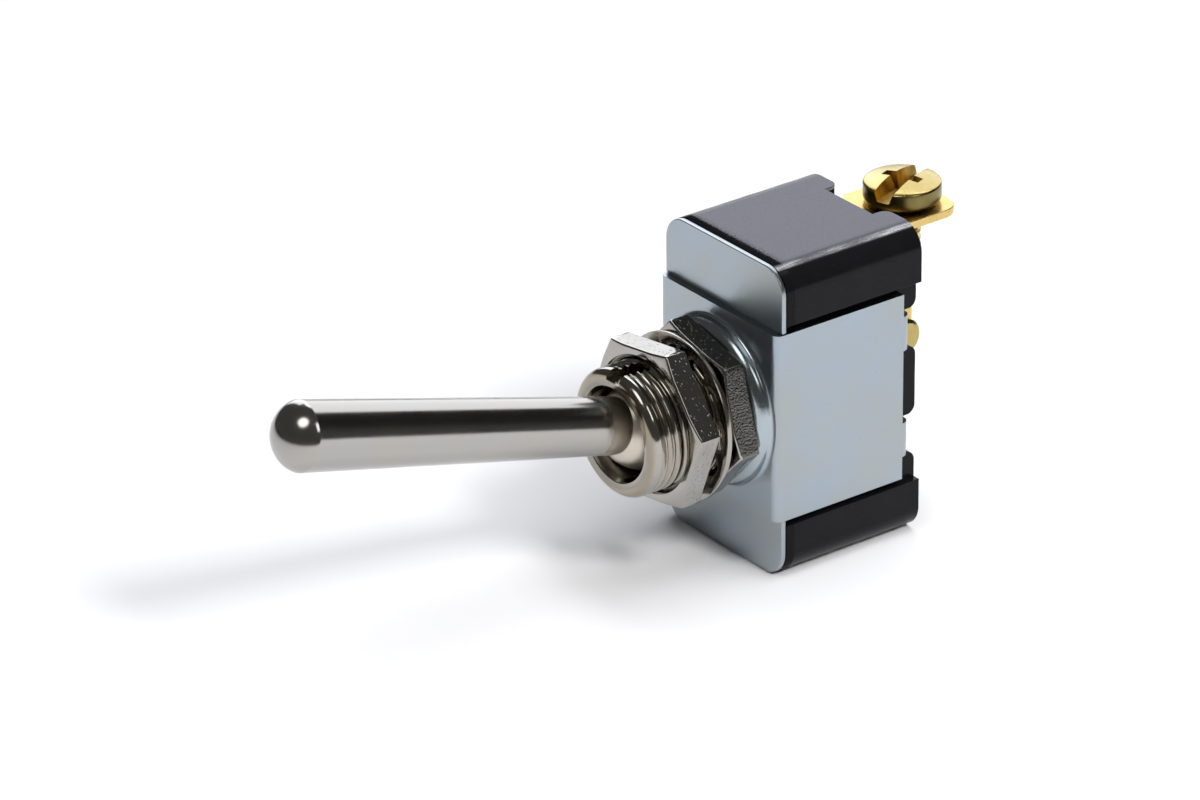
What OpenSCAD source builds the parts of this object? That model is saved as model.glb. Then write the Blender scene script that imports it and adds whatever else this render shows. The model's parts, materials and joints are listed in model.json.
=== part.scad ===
// Panel toggle switch, single pole, on-off, with screw terminals.
// Frame: origin on the stem axis at the front face of the yoke.
// X is the width of the body, +Y runs back into the case, +Z is up.
// The stem and the lever point to -Y.

/* [Yoke] */
// Width of the steel yoke over its two legs
yoke_w = 17.0; // [16.6:0.1:21]
// Height of the yoke
yoke_h = 18.4; // [17:0.1:24]
// Thickness of the yoke sheet
yoke_t = 0.7; // [0.5:0.05:0.9]
// Inside radius of the two long bends of the yoke
yoke_bend_in = 0.1; // [0.1:0.05:0.6]
// Width of the drawn boss round the stem
boss_land = 1.9; // [1.5:0.1:2.3]
// Height of the drawn boss
boss_h = 1.4; // [1.2:0.1:1.8]
// Radius of the rounded edge of the boss
boss_edge_r = 1.0; // [0.4:0.1:1.1]
// Radius of the fillet at the foot of the boss
boss_foot_r = 0.4; // [0.2:0.1:0.6]
// Thickness of the wall of the boss
boss_wall = 0.8; // [0.7:0.05:1]
// Width of each rear tab
tab_w = 3.4; // [2.4:0.1:4.2]
// Height of the rear tabs above and below the stem axis
tab_z = 5.3; // [4:0.1:6]
// Length of the part of each tab that lies on the case
tab_reach = 2.6; // [1.5:0.1:3.4]
// Inside radius of the bend of each tab
tab_bend_in = 0.2; // [0.1:0.05:0.4]

/* [Cover plate] */
// Distance of the sides of the cover plate inside the outer faces of the yoke
cover_in = 0.1; // [0:0.05:0.4]
// Thickness of the cover plate
cover_t = 0.5; // [0.4:0.05:0.8]
// Room round the swinging tail in the cover plate and the insulating sheet
tail_room = 0.4; // [0.2:0.05:0.8]

/* [Case] */
// Distance of the sides of the end blocks inside the outer faces of the yoke
case_in = 0.05; // [0:0.05:0.4]
// Height of the case, which the cover plate shares
case_h = 30.3; // [25:0.1:37]
// Depth from the front face of the yoke to the rear of the case
case_rear_y = 16.5; // [16:0.1:20]
// Radius of the four long corners of the case and the cover plate
case_corner_r = 2.5; // [1.5:0.1:3.5]
// Thickness of the side and end walls
case_wall = 1.5; // [1.2:0.1:1.6]
// Extra thickness of the end walls round the rear recess
end_ledge = 0.5; // [0.3:0.1:1]
// Radius of the corners inside the case
cavity_corner_r = 1.0; // [0.5:0.1:1.5]
// Depth of the open recess at the rear
rear_recess = 1.9; // [1.5:0.1:2.4]
// Depth of the notch in each end wall
end_notch_depth = 1.6; // [1:0.1:1.8]
// Thickness of the wall behind the contacts
back_wall = 2.0; // [1.4:0.1:2.4]
// Width of the notch in each end wall
end_notch_w = 6.8; // [6.6:0.1:8]
// Radius on the corners beside each notch
notch_r = 0.9; // [0.4:0.1:1.2]
// Height of the block that stops the lower end of the rocker
stop_h = 1.6; // [1:0.1:2]
// Thickness of the insulating sheet under the cover plate
sheet_t = 0.4; // [0.3:0.05:0.5]

/* [Stem] */
// Outside diameter of the threaded stem
stem_d = 12.0; // [11.5:0.05:12.2]
// Length of the stem ahead of the yoke
stem_len = 11.7; // [11.7:0.1:16]
// Thickness of the stem's wall round the bore behind the lever's ball
stem_wall = 1.3; // [1.1:0.05:1.4]
// Length of the coned mouth at the front of the bore
mouth_len = 1.1; // [0.6:0.1:1.4]
// How far the mouth opens out to its front edge
mouth_flare = 0.45; // [0.2:0.05:0.8]
// Radius of the rounded front rim
rim_r = 0.8; // [0.4:0.1:1]
// Distance of the step in the bore behind the lever's pivot
bearing_back = 2.0; // [1.5:0.1:2.4]
// Width of the keyway
keyway_w = 1.8; // [1.2:0.1:2.4]
// Depth of the keyway
keyway_depth = 0.9; // [0.5:0.05:0.95]

/* [Lever] */
// Distance of the lever's pivot ahead of the yoke
pivot_ahead = 8.5; // [8.3:0.1:9]
// Angle that the lever swings through, up to down
lever_throw = 31.2; // [24:0.1:32]
// Length from the pivot to the end of the lever
lever_len = 40.17; // [28:0.01:54]
// Radius of the lever where its round cap begins
tip_r = 3.17; // [2.8:0.01:3.8]
// Angle of the edge between the side of the lever and its round cap
tip_edge = 20.5; // [5:0.5:30]
// Radius of the lever where it meets the ball
neck_r = 2.55; // [2.2:0.01:2.8]
// Distance from the pivot to the start of the lever's taper, inside the ball
neck_at = 2.4; // [2:0.1:2.6]
// Width of the step in the bore that the lever's ball bears on
ball_step = 0.65; // [0.5:0.05:1]
// Radius of the tail behind the ball
tail_r = 1.9; // [1.75:0.05:1.9]
// Distance from the pivot to the blind end of the bore in the tail
bore_end = 3.0; // [2.6:0.1:3.4]
// Radius of the cross pin through the ball
pin_r = 0.75; // [0.5:0.05:0.9]

/* [Plunger and spring] */
// Radius of the plunger
plunger_r = 1.25; // [1:0.05:1.3]
// Length of the plunger without its round tip
plunger_len = 5.1; // [4:0.1:6]
// Length of the plunger, without its round tip, that stands out of the tail
plunger_out = 2.5; // [2:0.1:3]
// Wire diameter of the plunger spring
spring_wire = 0.38; // [0.25:0.01:0.45]
// Number of turns of the plunger spring
spring_turns = 9; // [6:1:11]

/* [Contacts] */
// Width of the rocker strip
rocker_w = 4.4; // [3.6:0.1:4.6]
// Thickness of the rocker strip
rocker_t = 0.8; // [0.6:0.05:0.9]
// Width of the rocker strip beyond the contacts
rocker_rim = 0.1; // [0:0.05:0.6]
// Radius of the corners of the rocker strip
rocker_corner_r = 1.2; // [0.6:0.1:1.6]
// Distance of the rocker's axis ahead of the terminal strips
rocker_ahead = 2.4; // [2.3:0.05:2.6]
// Angle that the rocker turns for each degree of the lever
rocker_ratio = 0.5; // [0.4:0.01:0.55]
// Height of the contacts above the stem axis
contact_z = 5.8; // [5.4:0.1:6.2]
// Radius of the contact buttons
contact_r = 1.3; // [1:0.05:1.5]
// Thickness of each contact button, with its dome
contact_t = 0.55; // [0.4:0.05:0.6]
// Height of the dome on each contact button
contact_dome = 0.25; // [0.15:0.05:0.3]
// Thickness of the saddle's sheet
saddle_t = 0.7; // [0.5:0.05:0.8]
// Width of the saddle
saddle_w = 3.0; // [2.4:0.1:3.4]
// Radius of the shank of the saddle's rivet
rivet_r = 0.78; // [0.6:0.02:0.9]
// Radius of the two heads of the rivet
rivet_head_r = 1.2; // [1:0.05:1.3]
// Height of the head of the rivet
rivet_head_h = 0.5; // [0.3:0.05:0.6]
// Height of the upset end of the rivet
rivet_tail_h = 0.55; // [0.3:0.05:0.8]

/* [Terminals] */
// Thickness of the terminal strip
strip_t = 0.8; // [0.6:0.05:1]
// Width of each terminal blade outside the case
blade_w = 8.4; // [7:0.1:10]
// Width of each blade where it leaves the case
blade_neck_w = 6.2; // [4:0.1:6.4]
// Length of each blade behind the case
blade_out = 8.3; // [7.4:0.1:12]
// Gap between the case and the wide part of each blade
shoulder_gap = 1.25; // [0.8:0.05:2]
// Radius of the rounded end of each blade
blade_end_r = 14.0; // [8:0.1:20]
// Radius of the two corners at the end of each blade
blade_corner_r = 2.1; // [0.6:0.1:3]
// Gap between the end terminal and the end wall of the case
end_blade_gap = 0.1; // [0.05:0.05:0.8]
// Offset of the centre terminal's blade to the left of the stem axis
centre_blade_x = 3.26; // [2.8:0.02:3.8]

/* [Screws] */
// Major diameter of the terminal screws
screw_d = 3.5; // [3:0.05:4]
// Length of each screw under its head
screw_len = 4.76; // [4:0.01:7]
// Diameter of the screw heads
head_d = 7.15; // [6:0.05:7.4]
// Height of the straight side of each head
head_h = 1.75; // [1:0.05:2]
// Height of the dome on each head
dome_h = 0.5; // [0.2:0.1:0.8]
// Distance of the screws behind the case
screw_out = 4.6; // [4.4:0.1:5]
// Gap between each head and its blade
head_gap = 0.2; // [0.05:0.05:0.8]
// Width of the slot in each head
slot_w = 1.8; // [0.8:0.1:2]
// Depth of the slot in each head
slot_depth = 1.4; // [0.8:0.1:1.6]
// Length of the short arm that crosses the slot
cross_len = 3.8; // [3:0.1:4.6]
// Width of the short arm that crosses the slot
cross_w = 1.1; // [0.8:0.1:1.4]
// Depth of the short arm that crosses the slot
cross_depth = 1.6; // [0.9:0.1:1.7]
// Angle of the slot in the end terminal's screw head
end_slot_turn = 111; // [0:1:180]
// Angle of the slot in the centre terminal's screw head
centre_slot_turn = 30; // [0:1:180]

/* [Panel nuts] */
// Thickness of each hex nut's wall at its flats
nut_wall = 1.145; // [1:0.005:1.8]
// Thickness of each hex nut
nut_h = 2.4; // [1.8:0.1:2.6]
// Angle of the chamfer on the front corners of each nut
nut_chamfer = 30; // [20:1:40]
// Depth of the countersink at the mouth of each nut's thread
nut_mouth = 0.4; // [0.2:0.1:0.6]
// Distance from the middle of the lock washer to the front nut
front_nut_gap = 1.27; // [1.2:0.01:2]
// Turn of the front nut about the stem
front_nut_turn = 8.6; // [0:0.1:60]
// Turn of the rear nut about the stem
rear_nut_turn = 47; // [0:0.1:60]
// Distance from the rear nut to the middle of the lock washer
washer_gap = 0.83; // [0.8:0.01:1.2]
// Width of the lock washer's ring with its teeth
washer_ring = 2.2; // [1.8:0.1:2.6]
// Thickness of the lock washer
washer_t = 0.5; // [0.4:0.05:0.6]
// Width of the lock washer's plain outer band
washer_band = 1.2; // [0.9:0.1:1.3]
// Number of teeth on the lock washer
washer_teeth = 12; // [8:1:14]
// Width of each tooth of the lock washer
tooth_w = 1.5; // [1:0.1:1.8]
// Twist of each tooth out of the plane of the washer
tooth_twist = 12; // [8:1:14]
// Gap between the ends of the teeth and the stem
tooth_gap = 0.12; // [0.1:0.01:0.3]
// Lean of the loose lock washer on the stem
washer_lean = 2.8; // [0:0.1:3]

/* [Hidden] */
$fn = 96;
eps = 0.5;
// running clearance between pieces that move on each other
run_gap = 0.05;
// gap between pieces that are fixed together
seat_gap = 0.05;
// gap between the legs of the yoke and the sides of the case
leg_gap = 0.1;
// gap round a strip in its slot
slot_gap = 0.05;
// gap between the stem's flange and the wall of the boss
flange_gap = 0.1;
// gap between the ends of the legs and the ledge of the case
leg_end_gap = 0.15;
// gap between the cover plate and the case
cover_gap = 0.02;
// room above and below the yoke in the sides of the case, and beside each tab
yoke_room = 0.65;
tab_room = 0.2;
// gap round the insulating sheet
sheet_gap = 0.1;
// gap between the cross pin and the wall of the stem's bore
pin_end_gap = 0.1;
// gap of a pin or a rivet in a hole that it stays fixed in
press_gap = 0.01;
rivet_gap = 0.02;
// gap at each end of the plunger spring
spring_gap = 0.1;
// gap between the rocker and the ears of its saddle
saddle_gap = 0.3;
// height of the saddle's ears past the rocker's axis
ear_rim = 0.3;
// height of the rocker's round axle over the faces of its strip
trunnion_rim = 0.1;
// depth of the well in the case for the end of the rivet, and the gap round that end
rivet_well = 1.0;
well_gap = 0.2;
// length of the end terminal's foot past its contact
foot_rim = 0.3;
// width of the chamfer on the end of each screw
screw_point = 0.3;
// gap between a screw's thread and its tapped hole
thread_clear = 0.03;

stem_r = stem_d / 2;
stem_bore_r = stem_r - stem_wall;
bearing_r = stem_bore_r - ball_step;
ball_r = bearing_r - run_gap;
mouth_r = bearing_r + mouth_flare;
boss_r = stem_r + boss_land;
flange_r = boss_r - boss_wall - flange_gap;
flange_t = boss_h - 2 * seat_gap;
nut_af = stem_d + 2 * nut_wall;
washer_r = stem_r + washer_ring;
rear_nut_at = boss_h + seat_gap;
washer_at = rear_nut_at + nut_h + washer_gap;
front_nut_at = washer_at + front_nut_gap;
yoke_bend_r = yoke_bend_in + yoke_t;
cover_y = yoke_t;
case_front_y = cover_y + cover_t;
rear_floor_y = case_rear_y - rear_recess;
cavity_floor_y = rear_floor_y - back_wall;
cover_w = yoke_w - 2 * cover_in;
case_w = yoke_w - 2 * case_in;
side_x = yoke_w / 2 - yoke_t - leg_gap;
cavity_w = 2 * (side_x - case_wall);
cavity_h = case_h - 2 * case_wall;
strip_y = cavity_floor_y - strip_t;
leg_end_y = rear_floor_y - leg_end_gap;
tab_top_y = rear_floor_y + seat_gap + yoke_t;
tab_bend_r = yoke_t + tab_bend_in;
tail_swing = lever_throw / 2;
end_blade_z = case_h / 2 - case_wall - end_blade_gap - strip_t / 2;
screw_y = case_rear_y + screw_out;
// depth of the line that the rocker turns on
rocker_y = strip_y - rocker_ahead;
// distance from the pivot to the centre of the plunger's round tip
plunger_reach = pivot_ahead + rocker_y - rocker_t / 2 - plunger_r - 3 * run_gap;
// distance from the pivot to the end of the tail
tail_len = plunger_reach - plunger_out;
rocker_reach = contact_z + contact_r + rocker_rim;
sheet_y = case_front_y + seat_gap;
sheet_back_y = sheet_y + sheet_t;
// hole that the tail swings in, at the rear of the insulating sheet
tail_hole_r = (pivot_ahead + sheet_back_y) * tan(tail_swing) + tail_r / cos(tail_swing)
    + tail_room;
trunnion_r = rocker_t / 2 + trunnion_rim;
rocker_swing = tail_swing * rocker_ratio;
saddle_x = rocker_w / 2 + saddle_gap;
rivet_hole_r = rivet_r + rivet_gap;
spring_coil_r = plunger_r - spring_wire / 2 - run_gap;

// a flat outline in X and Z, given its depth from y0 to y1
module slab(y0, y1) {
    translate([0, y1, 0]) rotate([90, 0, 0]) linear_extrude(y1 - y0) children();
}

// along the stem: local Z points forward from the face of the yoke
module on_stem(ahead = 0) {
    translate([0, -ahead, 0]) rotate([90, 0, 0]) children();
}

// along the lever at rest: local Z points from the pivot to the tip
module on_lever() {
    translate([0, -pivot_ahead, 0]) rotate([90 - tail_swing, 0, 0]) children();
}

// in the rocker's own frame at rest, tilted with its lower end back
module on_rocker() {
    translate([0, rocker_y, 0]) rotate([rocker_swing, 0, 0]) children();
}

module rounded_rect(w, h, r) {
    square([w - 2 * r, h], center = true);
    square([w, h - 2 * r], center = true);
    for (x = [-1, 1], y = [-1, 1])
        translate([x * (w / 2 - r), y * (h / 2 - r)]) circle(r);
}

// a notch cut down from y = 0, with round corners beside its mouth
module notch_outline(w, depth, r) {
    translate([-w / 2, -depth]) square([w, depth + eps]);
    difference() {
        translate([-w / 2 - r, -r]) square([w + 2 * r, r + eps]);
        for (x = [-1, 1]) translate([x * (w / 2 + r), -r]) circle(r);
    }
}

// half of a plateau with a rounded edge and a hollow fillet at its foot
module boss_outline(r, h, edge_r, foot_r) {
    square([r - edge_r, h]);
    square([r, h - edge_r]);
    translate([r - edge_r, h - edge_r]) circle(edge_r);
    difference() {
        translate([r - eps, 0]) square([foot_r + eps, foot_r]);
        translate([r + foot_r, foot_r]) circle(foot_r);
    }
}

module yoke_tab() {
    bend_x = yoke_w / 2 - tab_bend_r;
    bend_y = tab_top_y - tab_bend_r;
    linear_extrude(tab_w, center = true) {
        translate([yoke_w / 2 - yoke_t, leg_end_y - eps]) square([yoke_t, bend_y - leg_end_y + eps]);
        translate([bend_x - tab_reach, tab_top_y - yoke_t]) square([tab_reach, yoke_t]);
        intersection() {
            translate([bend_x, bend_y]) difference() {
                circle(tab_bend_r);
                circle(tab_bend_r - yoke_t);
            }
            translate([bend_x, bend_y]) square(tab_bend_r);
        }
    }
}

module yoke_section() {
    inner_w = yoke_w - 2 * yoke_t;
    inner_r = yoke_bend_r - yoke_t;
    difference() {
        union() {
            translate([-yoke_w / 2, yoke_bend_r]) square([yoke_w, leg_end_y - yoke_bend_r]);
            translate([-yoke_w / 2 + yoke_bend_r, 0]) square([yoke_w - 2 * yoke_bend_r, leg_end_y]);
            for (x = [-1, 1])
                translate([x * (yoke_w / 2 - yoke_bend_r), yoke_bend_r]) circle(yoke_bend_r);
        }
        translate([-inner_w / 2, yoke_bend_r]) square([inner_w, leg_end_y]);
        translate([-inner_w / 2 + inner_r, yoke_t]) square([inner_w - 2 * inner_r, leg_end_y]);
        for (x = [-1, 1])
            translate([x * (inner_w / 2 - inner_r), yoke_bend_r]) circle(inner_r);
    }
}

module yoke() {
    color("lightsteelblue") difference() {
        union() {
            linear_extrude(yoke_h, center = true) yoke_section();
            on_stem() rotate_extrude() boss_outline(boss_r, boss_h, boss_edge_r, boss_foot_r);
            for (side = [0, 1], z = [-tab_z, tab_z])
                mirror([side, 0, 0]) translate([0, 0, z]) yoke_tab();
        }
        on_stem(-yoke_t) cylinder(r = boss_r - boss_wall, h = boss_h);
        on_stem(-eps) cylinder(r = stem_r + seat_gap, h = boss_h + 2 * eps);
    }
}

module cover_plate() {
    waist_x = yoke_w / 2 - yoke_t - yoke_bend_in;
    color("lightslategray") difference() {
        slab(cover_y, cover_y + cover_t) rounded_rect(cover_w, case_h, case_corner_r);
        for (side = [0, 1]) mirror([side, 0, 0])
            translate([waist_x, cover_y - eps, -yoke_h / 2 - seat_gap])
                cube([yoke_w, cover_t + 2 * eps, yoke_h + 2 * seat_gap]);
        on_stem(-case_front_y - eps) cylinder(r = tail_hole_r, h = cover_t + 2 * eps);
    }
}

module insulating_sheet() {
    color("tan") difference() {
        slab(sheet_y, sheet_back_y)
            rounded_rect(cavity_w - 2 * sheet_gap, cavity_h - 2 * sheet_gap, cavity_corner_r - sheet_gap);
        on_stem(-sheet_back_y - eps) cylinder(r = tail_hole_r, h = sheet_t + 2 * eps);
    }
}

module case_notches() {
    tab_notch_w = tab_w + 2 * tab_room;
    for (z = [-tab_z, tab_z])
        translate([0, case_rear_y, z]) rotate([90, 0, 90])
            linear_extrude(case_w + 2 * eps, center = true)
                rotate(-90) notch_outline(tab_notch_w, rear_recess, notch_r);
}

module case_end_notches() {
    end_wall = case_wall + end_ledge;
    for (side = [0, 1])
        mirror([0, 0, side]) translate([0, case_rear_y, case_h / 2 - end_wall])
            linear_extrude(end_wall + eps) notch_outline(end_notch_w, end_notch_depth, notch_r);
}

module case_slots() {
    depth = back_wall + 2 * eps;
    width = blade_neck_w + 2 * slot_gap;
    height = strip_t + 2 * slot_gap;
    translate([-width / 2, cavity_floor_y - eps, end_blade_z - height / 2])
        cube([width, depth, height]);
    translate([-centre_blade_x - height / 2, cavity_floor_y - eps, -width / 2])
        cube([height, depth, width]);
}

module case() {
    recess_h = yoke_h + 2 * yoke_room;
    recess_w = case_w - 2 * side_x;
    stop_y = rocker_y + rocker_t / 2 + rocker_reach * sin(rocker_swing) + 2 * run_gap;
    color("#1c1c20") {
        difference() {
            slab(case_front_y + cover_gap, case_rear_y) rounded_rect(case_w, case_h, case_corner_r);
            for (x = [-1, 1])
                translate([x * case_w / 2, case_rear_y / 2, 0])
                    cube([recess_w, case_rear_y + 2 * eps, recess_h], center = true);
            slab(case_front_y - eps, cavity_floor_y)
                rounded_rect(cavity_w, cavity_h, cavity_corner_r);
            slab(rear_floor_y, case_rear_y + eps)
                rounded_rect(cavity_w, cavity_h - 2 * end_ledge, cavity_corner_r);
            case_notches();
            case_end_notches();
            case_slots();
            on_stem(-cavity_floor_y - rivet_well)
                cylinder(r = rivet_head_r + well_gap, h = rivet_well + eps);
        }
        translate([-rocker_w / 2, stop_y, -rocker_reach])
            cube([rocker_w, cavity_floor_y - stop_y, stop_h]);
    }
}

module stem_outline() {
    square([stem_r, stem_len - rim_r]);
    square([stem_r - rim_r, stem_len]);
    translate([stem_r - rim_r, stem_len - rim_r]) circle(rim_r);
    translate([0, -yoke_t + seat_gap]) square([flange_r, flange_t]);
}

module stem() {
    bore_top = pivot_ahead - bearing_back;
    color("silver") on_stem() difference() {
        rotate_extrude() stem_outline();
        translate([0, 0, -yoke_t - eps]) cylinder(r = stem_bore_r, h = bore_top + yoke_t + eps);
        cylinder(r = bearing_r, h = stem_len);
        translate([0, 0, stem_len - mouth_len])
            cylinder(r1 = bearing_r, r2 = mouth_r + (mouth_r - bearing_r) / mouth_len, h = mouth_len + 1);
        translate([-stem_bore_r, -pin_r - run_gap, bore_top - eps])
            cube([2 * stem_bore_r, 2 * (pin_r + run_gap), bearing_back + eps]);
        translate([0, 0, pivot_ahead]) rotate([0, 90, 0])
            cylinder(r = pin_r + run_gap, h = 2 * stem_bore_r, center = true);
        translate([-keyway_w / 2, stem_r - keyway_depth, boss_h])
            cube([keyway_w, keyway_depth + eps, stem_len]);
    }
}

module lever_outline() {
    cap_r = tip_r / cos(tip_edge);
    cap_at = lever_len - cap_r;
    edge_at = cap_at + cap_r * sin(tip_edge);
    polygon([[0, 0], [neck_r, neck_at], [tip_r, edge_at], [0, edge_at]]);
    intersection() {
        translate([0, cap_at]) circle(cap_r);
        translate([0, edge_at]) square([tip_r, cap_r]);
    }
    intersection() {
        circle(ball_r);
        translate([0, -ball_r]) square([ball_r, 2 * ball_r]);
    }
    translate([0, -tail_len]) square([tail_r, tail_len]);
}

module lever() {
    bore_len = tail_len - bore_end;
    color("gainsboro") on_lever() difference() {
        rotate_extrude() lever_outline();
        translate([0, 0, -tail_len - eps]) cylinder(r = plunger_r + run_gap, h = bore_len + eps);
        rotate([0, 90, 0]) cylinder(r = pin_r + press_gap, h = 3 * ball_r, center = true);
    }
}

module pivot_pin() {
    color("dimgray") on_lever() rotate([0, 90, 0])
        cylinder(r = pin_r, h = 2 * (stem_bore_r - pin_end_gap), center = true);
}

module plunger() {
    color("goldenrod") on_lever() rotate_extrude() intersection() {
        union() {
            translate([0, -plunger_reach]) circle(plunger_r);
            translate([0, -plunger_reach]) square([plunger_r, plunger_len]);
        }
        translate([0, -plunger_reach - plunger_r]) square([plunger_r, plunger_r + plunger_len]);
    }
}

// one point of a helix on the Z axis
function helix(a, r, pitch) = [r * cos(a), r * sin(a), pitch * a / 360];

module coil(turns, r, pitch, wire, sides = 6, steps = 14) {
    rings = turns * steps;
    lead = atan(pitch / (2 * PI * r));
    points = [for (i = [0:rings], k = [0:sides - 1])
        let (a = i * 360 / steps, b = k * 360 / sides, p = helix(a, r, pitch))
            p + wire / 2 * (cos(b) * [cos(a), sin(a), 0]
                + sin(b) * [sin(a) * sin(lead), -cos(a) * sin(lead), cos(lead)])];
    walls = [for (i = [0:rings - 1], k = [0:sides - 1])
        [i * sides + k, i * sides + (k + 1) % sides,
            (i + 1) * sides + (k + 1) % sides, (i + 1) * sides + k]];
    ends = [[for (k = [sides - 1:-1:0]) k], [for (k = [0:sides - 1]) rings * sides + k]];
    polyhedron(points, concat(walls, ends));
}

module plunger_spring() {
    back = -bore_end - spring_wire / 2 - spring_gap;
    front = -plunger_reach + plunger_len + spring_wire / 2 + spring_gap;
    color("lightgray") on_lever() translate([0, 0, front])
        coil(spring_turns, spring_coil_r, (back - front) / spring_turns, spring_wire);
}

module rocker() {
    color("peru") on_rocker() {
        slab(-rocker_t / 2, rocker_t / 2) rounded_rect(rocker_w, 2 * rocker_reach, rocker_corner_r);
        rotate([0, 90, 0]) cylinder(r = trunnion_r, h = 2 * (saddle_x + saddle_t), center = true);
    }
}

// a shallow dome of a given height on a round foot at z = base
module dome(r, base, rise) {
    dome_r = (r * r + rise * rise) / (2 * rise);
    intersection() {
        translate([0, 0, base + rise - dome_r]) sphere(dome_r);
        translate([0, 0, base - eps / 5]) cylinder(r = r, h = rise + eps);
    }
}

// a round contact with a shallow dome, standing on its foot
module contact_button() {
    foot_h = contact_t - contact_dome;
    cylinder(r = contact_r, h = foot_h);
    dome(contact_r, foot_h, contact_dome);
}

module moving_contact() {
    along = contact_z / cos(rocker_swing) + (rocker_t / 2 + contact_t) * tan(rocker_swing);
    color("silver") on_rocker() translate([0, rocker_t / 2, along])
        rotate([-90, 0, 0]) contact_button();
}

module fixed_contact() {
    color("silver") translate([0, strip_y, contact_z]) rotate([90, 0, 0]) contact_button();
}

module rocker_saddle() {
    ear_h = rocker_ahead + ear_rim;
    bearing = trunnion_r + run_gap;
    color("goldenrod") difference() {
        union() {
            translate([-saddle_x - saddle_t, strip_y - saddle_t, -saddle_w / 2])
                cube([2 * (saddle_x + saddle_t), saddle_t, saddle_w]);
            for (side = [0, 1]) mirror([side, 0, 0])
                translate([saddle_x, strip_y - ear_h, -saddle_w / 2]) cube([saddle_t, ear_h, saddle_w]);
        }
        translate([0, rocker_y, 0]) rotate([0, 90, 0])
            cylinder(r = bearing, h = 4 * saddle_x, center = true);
        translate([-2 * saddle_x, rocker_y - 2 * ear_rim, -bearing])
            cube([4 * saddle_x, 2 * ear_rim, 2 * bearing]);
        on_stem(-strip_y - eps) cylinder(r = rivet_hole_r, h = saddle_t + 2 * eps);
    }
}

module saddle_rivet() {
    head_y = strip_y - saddle_t;
    tail_y = cavity_floor_y + seat_gap + rivet_tail_h;
    color("goldenrod") {
        on_stem(-head_y)
            cylinder(r1 = rivet_head_r, r2 = rivet_head_r - rivet_head_h / 2, h = rivet_head_h);
        on_stem(-tail_y) cylinder(r = rivet_r, h = tail_y - head_y);
        on_stem(-tail_y) cylinder(r = rivet_head_r, h = rivet_tail_h);
    }
}

// a flat blade in X and Y with a narrow neck, wide shoulders and a round end
module blade_outline(root_y) {
    end_y = case_rear_y + blade_out;
    shoulder_y = case_rear_y + shoulder_gap;
    translate([-blade_neck_w / 2, root_y]) square([blade_neck_w, shoulder_y - root_y + 1]);
    intersection() {
        union() {
            translate([-blade_w / 2, shoulder_y])
                square([blade_w, end_y - blade_corner_r - shoulder_y]);
            translate([0, end_y - blade_w / 2]) rounded_rect(blade_w, blade_w, blade_corner_r);
        }
        translate([0, end_y - blade_end_r]) circle(blade_end_r);
    }
}

module end_terminal() {
    foot_z = contact_z - contact_r - foot_rim;
    color("gold") difference() {
        union() {
            translate([0, 0, end_blade_z - strip_t / 2]) linear_extrude(strip_t) blade_outline(strip_y);
            translate([-blade_neck_w / 2, strip_y, foot_z])
                cube([blade_neck_w, strip_t, end_blade_z - foot_z]);
        }
        translate([0, screw_y, end_blade_z])
            cylinder(d = screw_d + 2 * thread_clear, h = 2 * strip_t, center = true);
    }
}

module centre_terminal() {
    foot_w = centre_blade_x + saddle_x + saddle_t;
    color("gold") difference() {
        union() {
            translate([-centre_blade_x - strip_t / 2, 0, 0]) rotate([0, 90, 0])
                linear_extrude(strip_t) blade_outline(strip_y);
            translate([-centre_blade_x, strip_y, -blade_neck_w / 2])
                cube([foot_w, strip_t, blade_neck_w]);
        }
        translate([-centre_blade_x, screw_y, 0]) rotate([0, 90, 0])
            cylinder(d = screw_d + 2 * thread_clear, h = 2 * strip_t, center = true);
        on_stem(-cavity_floor_y - eps) cylinder(r = rivet_hole_r, h = strip_t + 2 * eps);
    }
}

// a screw with its shank down and the top of its blade at z = 0
module terminal_screw() {
    top = head_gap + head_h + dome_h;
    end_z = head_gap - screw_len;
    difference() {
        union() {
            translate([0, 0, head_gap]) cylinder(d = head_d, h = head_h);
            dome(head_d / 2, head_gap + head_h, dome_h);
            translate([0, 0, end_z + screw_point]) cylinder(d = screw_d, h = screw_len);
            translate([0, 0, end_z])
                cylinder(d1 = screw_d - 2 * screw_point, d2 = screw_d, h = screw_point);
        }
        translate([-head_d, -slot_w / 2, top - slot_depth]) cube([2 * head_d, slot_w, slot_depth + eps]);
        translate([-cross_w / 2, -cross_len / 2, top - cross_depth])
            cube([cross_w, cross_len, cross_depth + eps]);
    }
}

module end_screw() {
    color("gold") translate([0, screw_y, end_blade_z + strip_t / 2])
        rotate(end_slot_turn) terminal_screw();
}

module centre_screw() {
    color("gold") translate([-centre_blade_x - strip_t / 2, screw_y, 0])
        rotate([0, -90, 0]) rotate(centre_slot_turn) terminal_screw();
}

// a hex nut with its front corners turned off
module panel_nut() {
    corner_r = nut_af / sqrt(3);
    blank_r = corner_r + eps;
    face_r = nut_af / 2 + run_gap;
    chamfer = (blank_r - face_r) * tan(nut_chamfer);
    thread_r = stem_r + run_gap;
    difference() {
        intersection() {
            cylinder(r = corner_r, h = nut_h, $fn = 6);
            rotate_extrude() polygon([[0, 0], [blank_r, 0], [blank_r, nut_h - chamfer],
                [face_r, nut_h], [0, nut_h]]);
        }
        translate([0, 0, -eps]) cylinder(r = thread_r, h = nut_h + 2 * eps);
        translate([0, 0, nut_h - nut_mouth])
            cylinder(r1 = thread_r, r2 = thread_r + nut_mouth + eps, h = nut_mouth + eps);
    }
}

module rear_nut() {
    color("silver") on_stem(rear_nut_at) rotate(rear_nut_turn) panel_nut();
}

module front_nut() {
    color("silver") on_stem(front_nut_at) rotate(front_nut_turn) panel_nut();
}

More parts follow.
